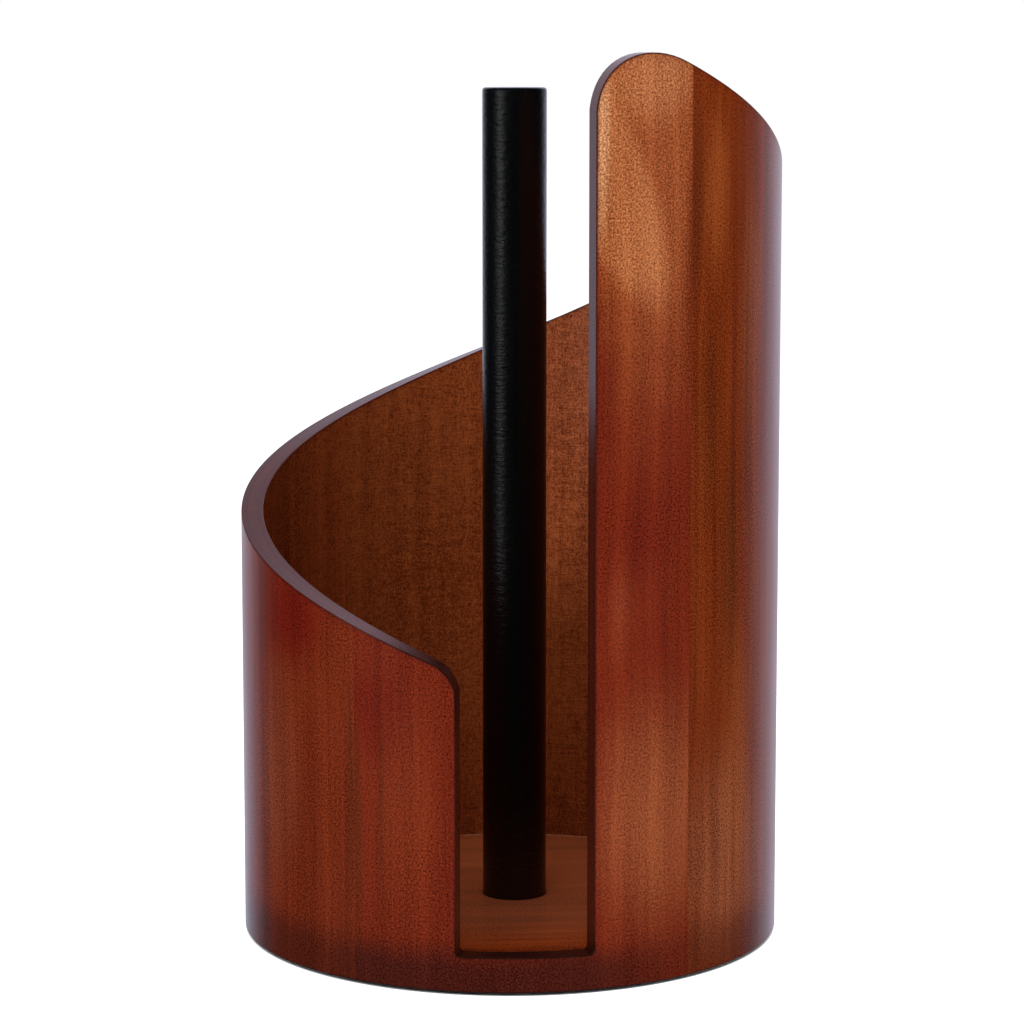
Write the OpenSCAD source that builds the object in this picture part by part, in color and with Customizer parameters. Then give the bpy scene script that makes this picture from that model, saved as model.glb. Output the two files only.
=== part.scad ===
// Paper towel holder: a bent plywood shell with a rising rim and a front slot, a round base
// board glued inside its foot, and a black post that the roll drops over.
// Millimetres, +Z up. The origin is on the table, on the shell's axis. The slot faces -Y.
// A turn is an angle round the axis from the middle of the slot, clockwise seen from above,
// so it passes the left side (-X), the back (+Y) and then the right side (+X).

/* [Shell] */
// Outside diameter of the shell
shell_d = 188; // [170:1:200]
// Height of the ramp at the left edge of the slot, were its corner square
ramp_low_h = 106; // [80:1:140]
// Height of the ramp at the right edge of the slot, were its corner square
ramp_high_h = 317; // [220:1:340]
// How far the ramp sags below a straight line, half way round
ramp_sag = 14; // [0:1:25]
// Run and drop of the rounded corner at the low end of the ramp
low_round = 8; // [4:1:14]
// Run of the rounded nose at the high end of the ramp
high_round_run = 34; // [20:1:45]
// Drop of the rounded nose at the high end of the ramp
high_round_drop = 32; // [20:1:40]

/* [Slot] */
// Angle that the slot takes out of the shell
slot_deg = 28; // [20:1:40]
// Height of the closed ring of shell that is left under the slot
sill_h = 12; // [10.5:0.5:20]

/* [Plies] */
// Thickness of each face veneer leaf
face_t = 0.6; // [0.5:0.1:0.9]
// Thickness of each cross ply under the faces
cross_t = 1.5; // [1:0.1:2]
// Thickness of the centre ply
centre_t = 3.4; // [2:0.1:4]
// Thickness of the glue line between two plies
glue_t = 0.05; // [0.03:0.01:0.08]
// Gap where the two ends of a bent ply meet under the slot
butt_gap = 0.4; // [0.2:0.1:1]
// Turn at which the first outer leaf begins
outer_leaf_start = -36; // [-60:1:-20]
// Turn at which the first inner leaf begins
inner_leaf_start = -6; // [-12:1:12]

/* [Base] */
// Thickness of the base board
base_t = 9; // [9:0.5:10]
// Diameter of the base board's socket for the post
socket_d = 14; // [10:0.5:18]
// Depth of that socket
socket_depth = 4; // [3:0.5:5]

/* [Post] */
// Diameter of the painted post
post_d = 22.4; // [18:0.1:30]
// Height of the post above the base board
post_h = 285; // [250:1:300]
// Radius on the post's top edge
post_round = 1; // [0.5:0.1:3]
// How far the post stands to the right of the shell's axis
post_offset = 1.6; // [-2:0.1:2]

/* [Fixing] */
// Outside diameter of the screw's thread
screw_d = 5; // [4:0.5:6]
// Length of the screw with its head
screw_len = 38; // [30:1:50]
// Diameter of the screw's countersunk head
screw_head_d = 9.6; // [8:0.2:11]

/* [Pads] */
// Diameter of each felt pad
pad_d = 22; // [15:1:30]
// Thickness of each felt pad
pad_t = 1; // [1:0.5:3]
// Distance of the pads from the shell's axis
pad_ring_r = 70; // [40:1:72]

/* [Hidden] */
$fn = 96;

// Number of veneer leaves that go round each face, as NODES lists them
leaf_count = 5;
shell_r = shell_d / 2;
outer_cross_r = shell_r - face_t - glue_t;
centre_r = outer_cross_r - cross_t - glue_t;
inner_cross_r = centre_r - centre_t - glue_t;
inner_face_r = inner_cross_r - cross_t - glue_t;
well_r = inner_face_r - face_t;
leaf_deg = 360 / leaf_count;
foot_z = pad_t;
floor_z = foot_z + base_t;
post_r = post_d / 2;
// Hair gap that keeps two round faces from cutting into each other
hair = 0.05;
// How far a cutter runs past the solid that it cuts
past = 5;

// Edge of the shell, laid out flat. `along` runs from 0 at the left edge of the slot, round the
// back, to 1 at its right edge.
edge_run = PI * shell_d * (360 - slot_deg) / 360;
blank_h = max(ramp_low_h, ramp_high_h) + past;
corner_steps = 12;
ramp_steps = 100;
low_end = low_round / edge_run;
high_end = 1 - high_round_run / edge_run;

function ramp_h(along) =
    ramp_low_h + (ramp_high_h - ramp_low_h) * along - ramp_sag * pow(sin(180 * along), 2);

// A quarter ellipse: how far a corner has fallen at a distance `gap` from the slot's edge
function corner_drop(gap, run, drop) =
    gap >= run ? 0 : drop * (1 - sqrt(1 - pow((run - gap) / run, 2)));

function rim_h(along) =
    ramp_h(along)
    - corner_drop(along * edge_run, low_round, low_round)
    - corner_drop((1 - along) * edge_run, high_round_run, high_round_drop);

// Places along the rim: close together in the two corners, even in between
low_places = [for (i = [0:corner_steps - 1]) low_end * (1 - cos(90 * i / corner_steps))];
ramp_places = [for (i = [0:ramp_steps]) low_end + (high_end - low_end) * i / ramp_steps];
high_places = [
    for (i = [corner_steps - 1:-1:0]) 1 - (1 - high_end) * (1 - cos(90 * i / corner_steps))
];
places = concat(low_places, ramp_places, high_places);

// The rim is laid out a hair wider than the slot's sides, so that the two cuts cross cleanly
rim_lap = 0.1;
function turn_of(along) = slot_deg / 2 - rim_lap + along * (360 - slot_deg + 2 * rim_lap);
function at_turn(turn, r, z) = [-r * sin(turn), -r * cos(turn), z];

// Everything above the rim. It runs on over the slot a little way past each end of the rim.
module above_rim() {
    over = slot_deg / 4;
    turns = concat(
        [slot_deg / 2 - over],
        [for (a = places) turn_of(a)],
        [360 - slot_deg / 2 + over]
    );
    heights = concat([rim_h(0)], [for (a = places) rim_h(a)], [rim_h(1)]);
    r_in = well_r - past;
    r_out = shell_r + past;
    count = len(turns);
    points = [
        for (i = [0:count - 1])
            let (low = foot_z + heights[i], high = foot_z + blank_h + past)
            each [
                at_turn(turns[i], r_in, low),
                at_turn(turns[i], r_out, low),
                at_turn(turns[i], r_out, high),
                at_turn(turns[i], r_in, high)
            ]
    ];
    strips = [
        for (i = [0:count - 2], side = [0:3])
            let (a = 4 * i + side, b = 4 * i + (side + 1) % 4)
            each [[a, b + 4, b], [a, a + 4, b + 4]]
    ];
    end = 4 * (count - 1);
    caps = [[0, 1, 2, 3], [end + 3, end + 2, end + 1, end]];
    polyhedron(points, concat(strips, caps), convexity = 10);
}

// The slot, with radial sides, from the sill up
module slot() {
    reach = shell_r + past;
    half = slot_deg / 2;
    translate([0, 0, foot_z + sill_h])
        linear_extrude(blank_h + past)
            polygon([
                [0, 0],
                [-reach * tan(half), -reach],
                [reach * tan(half), -reach]
            ]);
}

// One layer of the shell, cut to the rim and the slot
module shell_layer(r_out, thickness, start, sweep) {
    difference() {
        translate([0, 0, foot_z])
            rotate([0, 0, 270 - start - sweep])
                rotate_extrude(angle = sweep)
                    translate([r_out - thickness, 0])
                        square([thickness, blank_h]);
        above_rim();
        slot();
    }
}

module face_leaf(r_out, first_start, number) {
    seam = hair / r_out * 180 / PI;
    shell_layer(r_out, face_t, first_start + number * leaf_deg, leaf_deg - seam);
}

module outer_leaf(number) {
    color("#7a3219") face_leaf(shell_r, outer_leaf_start, number);
}

module inner_leaf(number) {
    color("#6b3517") face_leaf(inner_face_r, inner_leaf_start, number);
}

// A sheet bent right round, with its ends meeting under the slot
module bent_ply(r_out, thickness) {
    butt_deg = butt_gap / r_out * 180 / PI;
    shell_layer(r_out, thickness, butt_deg / 2, 360 - butt_deg);
}

module outer_cross_ply() {
    color("#4a2416") bent_ply(outer_cross_r, cross_t);
}

module centre_ply() {
    color("#54301d") bent_ply(centre_r, centre_t);
}

module inner_cross_ply() {
    color("#4a2416") bent_ply(inner_cross_r, cross_t);
}

module base_board() {
    head_h = (screw_head_d - screw_d) / 2;
    color("#6f3a17")
        difference() {
            translate([0, 0, foot_z])
                cylinder(r = well_r - hair, h = base_t);
            translate([post_offset, 0, floor_z - socket_depth])
                cylinder(d = socket_d, h = socket_depth + past);
            translate([post_offset, 0, foot_z - past])
                cylinder(d = screw_d + 4 * hair, h = base_t + past);
            translate([post_offset, 0, foot_z])
                cylinder(d1 = screw_head_d + 4 * hair, d2 = screw_d + 4 * hair, h = head_h);
        }
}

// Half section of the post: a plain rod with a rounded top edge and a turned spigot below
module post_section() {
    spigot_r = socket_d / 2 - hair;
    translate([0, -socket_depth + hair])
        square([spigot_r, socket_depth]);
    square([post_r, post_h - post_round]);
    square([post_r - post_round, post_h]);
    translate([post_r - post_round, post_h - post_round])
        circle(post_round);
}

module post() {
    color("#151312")
        translate([post_offset, 0, floor_z])
            difference() {
                rotate_extrude()
                    intersection() {
                        post_section();
                        translate([0, -past])
                            square([post_r, post_h + 2 * past]);
                    }
                translate([0, 0, -base_t])
                    cylinder(d = screw_d + 2 * hair, h = screw_len + hair);
            }
}

// Half section of the screw: countersunk head, plain neck, ringed thread and point
module screw_section() {
    head_h = (screw_head_d - screw_d) / 2;
    root_r = screw_d * 0.34;
    pitch = screw_d * 0.45;
    tip_h = screw_d;
    thread_from = base_t;
    ring_count = floor((screw_len - tip_h - thread_from) / pitch);
    thread_to = thread_from + ring_count * pitch;
    rings = [
        for (i = [0:ring_count - 1])
            let (z = thread_from + i * pitch)
            each [[root_r, z], [screw_d / 2, z + pitch / 2]]
    ];
    polygon(concat(
        [[0, 0], [screw_head_d / 2, 0], [screw_d / 2, head_h], [screw_d / 2, thread_from - 1]],
        rings,
        [[root_r, thread_to], [0, screw_len]]
    ));
}

module post_screw() {
    recess_w = 1.2;
    recess_l = 5;
    recess_depth = 2;
    color("#9a9a98")
        translate([post_offset, 0, foot_z])
            difference() {
                rotate_extrude()
                    screw_section();
                for (turn = [0, 90])
                    rotate([0, 0, turn])
                        translate([-recess_l / 2, -recess_w / 2, -past])
                            cube([recess_l, recess_w, recess_depth + past]);
            }
}

module pad(number) {
    turn = 45 + 90 * number;
    color("#1c1a19")
        translate(at_turn(turn, pad_ring_r, 0))
            cylinder(d = pad_d, h = pad_t);
}

outer_leaf(0);  // outer_leaf_front
outer_leaf(1);  // outer_leaf_left
outer_leaf(2);  // outer_leaf_back_left
outer_leaf(3);  // outer_leaf_back_right
outer_leaf(4);  // outer_leaf_right
outer_cross_ply();
centre_ply();
inner_cross_ply();
inner_leaf(0);  // inner_leaf_front_left
inner_leaf(1);  // inner_leaf_left
inner_leaf(2);  // inner_leaf_back
inner_leaf(3);  // inner_leaf_right
inner_leaf(4);  // inner_leaf_front_right
base_board();
post();
post_screw();
pad(0);  // pad_front_left
pad(1);  // pad_back_left
pad(2);  // pad_back_right
pad(3);  // pad_front_right
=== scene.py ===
import math

import bmesh
import bpy
import numpy as np
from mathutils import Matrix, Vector, noise


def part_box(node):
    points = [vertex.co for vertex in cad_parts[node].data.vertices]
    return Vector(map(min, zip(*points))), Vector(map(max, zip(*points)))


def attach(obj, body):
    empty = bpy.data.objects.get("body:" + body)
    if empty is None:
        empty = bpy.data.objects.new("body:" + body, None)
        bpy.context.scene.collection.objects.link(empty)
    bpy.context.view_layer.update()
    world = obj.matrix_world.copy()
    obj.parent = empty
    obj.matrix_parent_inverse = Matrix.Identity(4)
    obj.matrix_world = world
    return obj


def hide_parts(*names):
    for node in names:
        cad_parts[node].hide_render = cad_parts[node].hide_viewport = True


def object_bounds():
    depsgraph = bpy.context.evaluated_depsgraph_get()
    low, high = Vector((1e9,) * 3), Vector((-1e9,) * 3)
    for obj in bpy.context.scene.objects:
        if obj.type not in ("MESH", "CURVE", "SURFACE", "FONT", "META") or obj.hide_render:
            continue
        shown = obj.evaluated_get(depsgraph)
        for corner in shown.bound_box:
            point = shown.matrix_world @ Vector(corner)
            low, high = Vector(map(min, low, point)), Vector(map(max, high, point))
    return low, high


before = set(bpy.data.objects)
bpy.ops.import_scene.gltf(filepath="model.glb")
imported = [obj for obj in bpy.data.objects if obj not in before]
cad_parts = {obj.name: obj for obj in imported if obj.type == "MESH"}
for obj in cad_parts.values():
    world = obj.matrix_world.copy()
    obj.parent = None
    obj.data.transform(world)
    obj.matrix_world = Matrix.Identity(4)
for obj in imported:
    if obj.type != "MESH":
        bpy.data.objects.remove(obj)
cad_low, cad_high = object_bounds()


# ------------------------------------------------------------------ base board
# A round board of stained wood, 9 mm thick, turned to fit inside the foot of the shell and
# glued there. Its grain runs from left to right. Underneath, a countersunk hole takes the
# screw, and on top a shallow socket takes the post's spigot.

def face_outward(mesh):
    """Turns every face of a closed mesh outwards."""
    work = bmesh.new()
    work.from_mesh(mesh)
    bmesh.ops.recalc_face_normals(work, faces=work.faces)
    work.to_mesh(mesh)
    work.free()


def fix_to_holder(name, mesh):
    """Makes a piece of a mesh. Nothing on the holder moves, so all of it rides on the root."""
    piece = bpy.data.objects.new(name, mesh)
    bpy.context.scene.collection.objects.link(piece)
    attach(piece, "root")
    return piece


def ringed_solid(name, rings, sides, closed, laid_flat=None, ripple=None):
    """A turned piece. Each ring is (centre x, radius, z). A radius of 0 makes a pole, and a
    closed piece joins its last ring to its first, as round a hole. Laid_flat gives a point's
    place for the grain, and ripple moves its surface in or out."""
    points = []
    rows = []
    for centre_x, radius, z in rings:
        if radius == 0:
            rows.append([len(points)] * sides)
            points.append((centre_x, 0.0, z))
            continue
        rows.append(list(range(len(points), len(points) + sides)))
        for side in range(sides):
            angle = 2 * math.pi * side / sides
            r = radius + (ripple(angle, radius, z) if ripple else 0.0)
            points.append((centre_x + r * math.cos(angle), r * math.sin(angle), z))
    faces = []
    steps = len(rows) if closed else len(rows) - 1
    for step in range(steps):
        low, high = rows[step], rows[(step + 1) % len(rows)]
        for side in range(sides):
            after = (side + 1) % sides
            corners = (low[side], low[after], high[after], high[side])
            faces.append(list(dict.fromkeys(corners)))
    mesh = bpy.data.meshes.new(name)
    mesh.from_pydata(points, [], faces)
    face_outward(mesh)
    mesh.shade_smooth()
    mesh.set_sharp_from_angle(angle=math.radians(38))
    flat = mesh.attributes.new("laid_flat", "FLOAT_VECTOR", "POINT")
    place = laid_flat or (lambda p: p)
    flat.data.foreach_set("vector", [c for v in mesh.vertices for c in place(v.co)])
    return fix_to_holder(name, mesh)


def rounded(centre_x, radius, z, ease, up, steps=4):
    """Rings that ease an outer edge. Up is 1 where the edge is a top edge, -1 where it is a
    bottom edge. The rings run from the wall to the flat."""
    turns = [math.pi / 2 * k / steps for k in range(steps + 1)]
    return [
        (centre_x, radius - ease * (1 - math.cos(t)), z - up * ease * (1 - math.sin(t)))
        for t in turns
    ]


def node(tree, kind, inputs=None, **settings):
    """Adds a node, sets it up, and fills or wires the sockets that are named."""
    made = tree.nodes.new("ShaderNode" + kind)
    for key, value in settings.items():
        setattr(made, key, value)
    for socket, value in (inputs or {}).items():
        if isinstance(value, bpy.types.NodeSocket):
            tree.links.new(value, made.inputs[socket])
        else:
            made.inputs[socket].default_value = value
    return made


def maths(tree, operation, a, b):
    """The result of one sum on two values."""
    return node(tree, "Math", {0: a, 1: b}, operation=operation).outputs[0]


def shares(tree, a, share_of_a, b, share_of_b):
    """Two values added, each by its share."""
    part_of_a = maths(tree, "MULTIPLY", a, share_of_a)
    part_of_b = maths(tree, "MULTIPLY", b, share_of_b)
    return maths(tree, "ADD", part_of_a, part_of_b)


def vector_maths(tree, operation, a, b):
    """The result of one sum on two vectors."""
    return node(tree, "VectorMath", {0: a, 1: b}, operation=operation).outputs[0]


def fade(tree, value, start, end, low=0.0, high=1.0, kind="SMOOTHSTEP"):
    """A value that goes from low at start to high at end."""
    sockets = {"Value": value, 1: start, 2: end, 3: low, 4: high}
    return node(tree, "MapRange", sockets, interpolation_type=kind).outputs[0]


def mix(tree, factor, a, b, mode="MIX"):
    """Colour b laid over colour a."""
    made = tree.nodes.new("ShaderNodeMix")
    made.data_type = "RGBA"
    made.blend_type = mode
    for socket, value in ((0, factor), (6, a), (7, b)):
        if isinstance(value, bpy.types.NodeSocket):
            tree.links.new(value, made.inputs[socket])
        else:
            made.inputs[socket].default_value = value
    return made.outputs[2]


def stretched_noise(tree, vector, per_metre, detail=2.0, roughness=0.5):
    """Noise with its own count of blots per metre along, through and up the sheet."""
    place = vector_maths(tree, "MULTIPLY", vector, per_metre)
    sockets = {"Vector": place, "Scale": 1.0, "Detail": detail, "Roughness": roughness}
    return node(tree, "TexNoise", sockets).outputs[0]


def start_group(name, inputs, outputs):
    """A node group with its named sockets. Gives the tree, its inputs and its output node."""
    tree = bpy.data.node_groups.new(name, "ShaderNodeTree")
    for label, kind, value in inputs:
        made = tree.interface.new_socket(
            name=label, in_out="INPUT", socket_type="NodeSocket" + kind
        )
        if value is not None:
            made.default_value = value
    for label, kind in outputs:
        tree.interface.new_socket(
            name=label, in_out="OUTPUT", socket_type="NodeSocket" + kind
        )
    return tree, tree.nodes.new("NodeGroupInput").outputs, tree.nodes.new("NodeGroupOutput")


def use_group(tree, group, **inputs):
    """Places a group. Its inputs are named in words joined by underscores."""
    made = tree.nodes.new("ShaderNodeGroup")
    made.node_tree = group
    for key, value in inputs.items():
        socket = made.inputs[key.replace("_", " ").capitalize()]
        if isinstance(value, bpy.types.NodeSocket):
            tree.links.new(value, socket)
        else:
            socket.default_value = value
    return made.outputs


def rgb(red, green, blue):
    """A colour as a paint chart gives it, 0 to 255, turned into a shader's colour."""
    parts = [c / 255 for c in (red, green, blue)]
    linear = [c / 12.92 if c <= 0.04045 else ((c + 0.055) / 1.055) ** 2.4 for c in parts]
    return (*linear, 1.0)


def start_material(name, **sockets):
    """A material with one Principled BSDF, whose plain sockets are set here."""
    material = bpy.data.materials.new(name)
    material.use_nodes = True
    tree = material.node_tree
    shader = tree.nodes["Principled BSDF"]
    for key, value in sockets.items():
        shader.inputs[key.replace("_", " ")].default_value = value
    return material, tree, shader


def sheet_place(tree):
    """Where a point lies on its sheet before bending: metres along, through and up the grain."""
    made = node(tree, "Attribute", attribute_name="laid_flat", attribute_type="GEOMETRY")
    return made.outputs["Vector"]


def wire_surface(tree, shader, colour, roughness, height, depth):
    """Wires a finished surface into the shader. Depth is the relief in metres."""
    tree.links.new(colour, shader.inputs["Base Color"])
    tree.links.new(roughness, shader.inputs["Roughness"])
    bump = node(tree, "Bump", {"Strength": 1.0, "Distance": depth, "Height": height})
    tree.links.new(bump.outputs[0], shader.inputs["Normal"])


# Stained wood, as every wooden piece has it: long streaks of early and late growth, the
# speckle of pores that took more stain, slow changes of tone, and in places the fine
# crossing lines that the press cloth leaves. Noise is counted in blots per metre.
stained_wood, given, taken = start_group(
    "Stained wood",
    [
        ("Place", "Vector", None),
        ("Seed", "Float", 0.0),
        ("Ground", "Color", (0.2, 0.05, 0.02, 1)),
        ("Streaks", "Float", 0.5),
        ("Speckle", "Float", 0.5),
        ("Clouds", "Float", 0.3),
        ("Weave", "Float", 0.0),
    ],
    [("Color", "Color"), ("Roughness", "Float"), ("Height", "Float")],
)
shift = node(stained_wood, "CombineXYZ", {0: given["Seed"], 1: 0.0, 2: given["Seed"]}).outputs[0]
place = vector_maths(stained_wood, "ADD", given["Place"], shift)
grain_sway = 0.006           # how far the grain wanders sideways, in metres
sway = stretched_noise(stained_wood, place, (9, 9, 14), 1.0)
sway = maths(stained_wood, "SUBTRACT", sway, 0.5)
sway = maths(stained_wood, "MULTIPLY", sway, grain_sway)
swayed = vector_maths(
    stained_wood, "ADD", place, node(stained_wood, "CombineXYZ", {0: sway}).outputs[0]
)
broad = stretched_noise(stained_wood, swayed, (170, 170, 4), 2.0, 0.6)
narrow = stretched_noise(stained_wood, swayed, (900, 900, 22), 2.0, 0.6)
streak = shares(stained_wood, broad, 0.62, narrow, 0.38)
speck = stretched_noise(stained_wood, place, (1500, 1500, 1350), 2.0, 0.8)
cloud = stretched_noise(stained_wood, place, (17, 17, 11), 2.0, 0.5)
level = stretched_noise(stained_wood, place, (260, 260, 2900), 1.0)
upright = stretched_noise(stained_wood, place, (2600, 2600, 200), 1.0)
crossing = shares(stained_wood, level, 0.55, upright, 0.45)
tone = 0.5                   # 0 where the wood drank its fill, 1 where it stayed bare
for part, strength, gain in (
    # noise, its strength in this material, and the gain that spreads it over 0 to 1
    (streak, given["Streaks"], 3.2),
    (speck, given["Speckle"], 6.0),
    (cloud, given["Clouds"], 3.0),
    (crossing, given["Weave"], 3.4),
):
    swing = maths(stained_wood, "MULTIPLY", maths(stained_wood, "SUBTRACT", part, 0.5), gain)
    tone = maths(stained_wood, "ADD", tone, maths(stained_wood, "MULTIPLY", swing, strength))
# Where the wood drank more stain it is darker and redder, and where less, paler and yellower
drank_share = (0.42, 0.33, 0.26, 1)
spared_share = (1.60, 2.0, 2.1)
drank = mix(stained_wood, 1.0, given["Ground"], drank_share, "MULTIPLY")
spared = vector_maths(stained_wood, "MULTIPLY", given["Ground"], spared_share)
shade = mix(stained_wood, fade(stained_wood, tone, 0.0, 0.5, kind="LINEAR"),
            drank, given["Ground"])
shade = mix(stained_wood, fade(stained_wood, tone, 0.5, 1.0, kind="LINEAR"),
            shade, spared)
stained_wood.links.new(shade, taken.inputs["Color"])
least_dullness = 0.14
dullness = shares(stained_wood, speck, 0.16, cloud, 0.14)
dullness = maths(stained_wood, "ADD", dullness, least_dullness)
stained_wood.links.new(dullness, taken.inputs["Roughness"])
relief = shares(stained_wood, speck, 0.15, crossing, given["Weave"])
relief = maths(stained_wood, "ADD", relief, maths(stained_wood, "MULTIPLY", narrow, 0.35))
stained_wood.links.new(relief, taken.inputs["Height"])

board_low, board_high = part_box("base_board")
post_low, post_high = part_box("post")
screw_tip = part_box("post_screw")[1].z
post_x = (post_low.x + post_high.x) / 2
post_radius = (post_high.x - post_low.x) / 2
board_radius = board_high.x
socket_radius = 0.007
socket_depth = 0.004
screw_hole_radius = 0.0026
countersink_radius = 0.0049
countersink_top = board_low.z + 0.0023
edge_ease = 0.0004
board_rings = [
    (post_x, countersink_radius, board_low.z),
    (post_x, screw_hole_radius, countersink_top),
    (post_x, screw_hole_radius, board_high.z - socket_depth),
    (post_x, socket_radius, board_high.z - socket_depth),
    (post_x, socket_radius, board_high.z),
]
for share in (0.2, 0.45, 0.7, 0.9):          # from round the post to round the axis
    radius = socket_radius + (board_radius - edge_ease - socket_radius) * share
    board_rings.append((post_x * (1 - share), radius, board_high.z))
board_rings += reversed(rounded(0, board_radius, board_high.z, edge_ease, up=1))
board_rings += rounded(0, board_radius, board_low.z, edge_ease, up=-1)
round_countersink = 0.02
board_rings += [
    (0.0, board_radius * 0.6, board_low.z),
    (post_x, round_countersink, board_low.z),
]
base_board = ringed_solid(
    "base_board_turned", board_rings, sides=144, closed=True,
    laid_flat=lambda p: (p.y, p.z, p.x),      # the grain runs along X
)
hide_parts("base_board")

board_wood, tree, shader = start_material(
    "Base board, stained", Coat_Weight=0.12, Coat_Roughness=0.3
)
where = sheet_place(tree)
grain = use_group(
    tree, stained_wood, place=where, seed=3.7, ground=rgb(120, 46, 16),
    streaks=0.80, speckle=0.36, clouds=0.3, weave=0.1,
)
# Towards the back the board is painted lighter and greyer, a painted sheen. Along its front
# edge, behind the sill, it is darker in a ragged band, and a faint painted shade rings the
# post's foot. Round the back, a thin pale line runs along the board's edge.
spot = node(tree, "TexCoord").outputs["Object"]
flat_spot = vector_maths(tree, "MULTIPLY", spot, (1, 1, 0))
from_axis = node(tree, "VectorMath", {0: flat_spot}, operation="LENGTH").outputs["Value"]
from_post = node(
    tree, "VectorMath",
    {0: vector_maths(tree, "SUBTRACT", flat_spot, (post_x, 0, 0))}, operation="LENGTH",
).outputs["Value"]
back = node(tree, "SeparateXYZ", {0: spot}).outputs[1]
torn_edge = stretched_noise(tree, spot, (420, 420, 420), 3.0, 0.6)
torn_axis = maths(tree, "ADD", from_axis, maths(tree, "MULTIPLY", torn_edge, 0.0090))
# Painted sheen: the board's colour turns lighter and greyer towards the back
towards_back = fade(tree, back, -0.074, -0.030)
painted_sheen = mix(tree, maths(tree, "MULTIPLY", towards_back, 0.40), grain["Color"], rgb(148, 86, 58))
# The board is darker in a ragged band along its front edge, behind the sill
dark_front_band = fade(tree, torn_axis, board_radius - 0.0085, board_radius - 0.0030)
dark_front_band = maths(tree, "MULTIPLY", dark_front_band, fade(tree, back, -0.045, -0.065))
colour = mix(tree, maths(tree, "MULTIPLY", dark_front_band, 0.85), painted_sheen, rgb(40, 14, 8))
# Painted shade: a faint dark ring on the board, hugging the post's foot
painted_shade_at_post = fade(tree, from_post, post_radius + 0.0010, post_radius)
colour = mix(tree, maths(tree, "MULTIPLY", painted_shade_at_post, 0.5), colour, rgb(46, 18, 9))
# A thin pale line along the board's edge, towards the back
thread = fade(tree, torn_axis, board_radius + 0.0020, board_radius + 0.0036)
thread = maths(tree, "MULTIPLY", thread, fade(tree, back, -0.02, 0.03))
colour = mix(tree, maths(tree, "MULTIPLY", thread, 0.55), colour, rgb(186, 138, 104))
wire_surface(tree, shader, colour, grain["Roughness"], grain["Height"], depth=0.00003)
base_board.data.materials.append(board_wood)


# ------------------------------------------------------------------ post and screw
# A wooden dowel with a turned spigot, painted satin black. The paint lies in fine ripples
# over the turned wood. A steel wood screw comes up through the base board and holds it.

broad_ripple = 0.000016      # how deep the paint's ripples are
fine_ripple = 0.000008
even_foot = 0.005            # the spigot, and a little of the post above it, stay even


def paint_ripple(angle, radius, z):
    """How far the paint film dips below the dowel's full radius, in metres."""
    if radius < post_radius * 0.98 or z < post_low.z + even_foot:
        return 0.0
    around = Vector((math.cos(angle), math.sin(angle), 0)) * 1.6      # ripples round the post
    broad_dip = noise.noise(around + Vector((0, 0, z * 160)))
    fine_dip = noise.noise(around * 2.2 + Vector((7, 3, z * 520)))
    return broad_ripple * (broad_dip - 1) + fine_ripple * (fine_dip - 1)


play = 0.00005               # room that a hole leaves round what goes into it
spigot_radius = socket_radius - play
pilot_radius = 0.00255
pilot_top = screw_tip + play
post_foot = board_high.z
post_ease = 0.0011
foot_ease = 0.0003
film_rings = 190             # close enough together for the ripples in the paint
post_rings = [
    (post_x, 0.0, pilot_top),
    (post_x, pilot_radius, pilot_top),
    (post_x, pilot_radius, post_low.z),
    (post_x, spigot_radius, post_low.z),
    (post_x, spigot_radius, post_foot),
    (post_x, post_radius - foot_ease, post_foot),
    (post_x, post_radius, post_foot + foot_ease),
]
straight = post_high.z - post_ease - post_foot - foot_ease
post_rings += [
    (post_x, post_radius, post_foot + foot_ease + straight * k / film_rings)
    for k in range(1, film_rings)
]
post_rings += rounded(post_x, post_radius, post_high.z, post_ease, up=1, steps=6)
post_rings += [
    (post_x, post_radius * 0.55, post_high.z),
    (post_x, post_radius * 0.2, post_high.z),
    (post_x, 0.0, post_high.z),
]
post = ringed_solid("post_dowel", post_rings, sides=96, closed=False, ripple=paint_ripple)
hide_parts("post")

black_paint, tree, shader = start_material("Post, satin black paint", Specular_IOR_Level=0.75)
where = sheet_place(tree)
film = stretched_noise(tree, where, (420, 420, 900), 3.0, 0.6)
level_lines = stretched_noise(tree, where, (150, 150, 900), 2.0, 0.6)
dust = stretched_noise(tree, where, (2600, 2600, 2600), 1.0, 0.5)
mote = fade(tree, dust, 0.73, 0.80)
worn = stretched_noise(tree, where, (30, 30, 16), 2.0)
colour = mix(tree, worn, rgb(1, 2, 3), rgb(5, 7, 8))
colour = mix(tree, maths(tree, "MULTIPLY", mote, 0.25), colour, rgb(96, 92, 88))
dull = maths(tree, "ADD", maths(tree, "MULTIPLY", worn, 0.10), 0.28)
film_height = maths(tree, "ADD", film, maths(tree, "MULTIPLY", level_lines, 0.7))
wire_surface(tree, shader, colour, dull, film_height, depth=0.00020)
post.data.materials.append(black_paint)

screw_steel, tree, shader = start_material("Screw, zinc plated steel", Metallic=1.0)
spot = node(tree, "TexCoord").outputs["Object"]
turned = stretched_noise(tree, spot, (500, 500, 5200), 2.0)
stained = stretched_noise(tree, spot, (900, 900, 900), 3.0, 0.6)
colour = mix(tree, stained, rgb(150, 150, 152), rgb(196, 194, 188))
dull = maths(tree, "ADD", maths(tree, "MULTIPLY", stained, 0.25), 0.22)
wire_surface(tree, shader, colour, dull, turned, depth=0.00003)
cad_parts["post_screw"].data.materials.clear()
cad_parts["post_screw"].data.materials.append(screw_steel)


# ------------------------------------------------------------------ core of the shell
# Three plies carry the shell: a thick centre ply between two cross plies, each one sheet
# bent right round a form with its ends meeting under the slot. The press glues them, and
# then the rim, the slot and the foot are cut through all layers, eased and stained dark.

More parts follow.
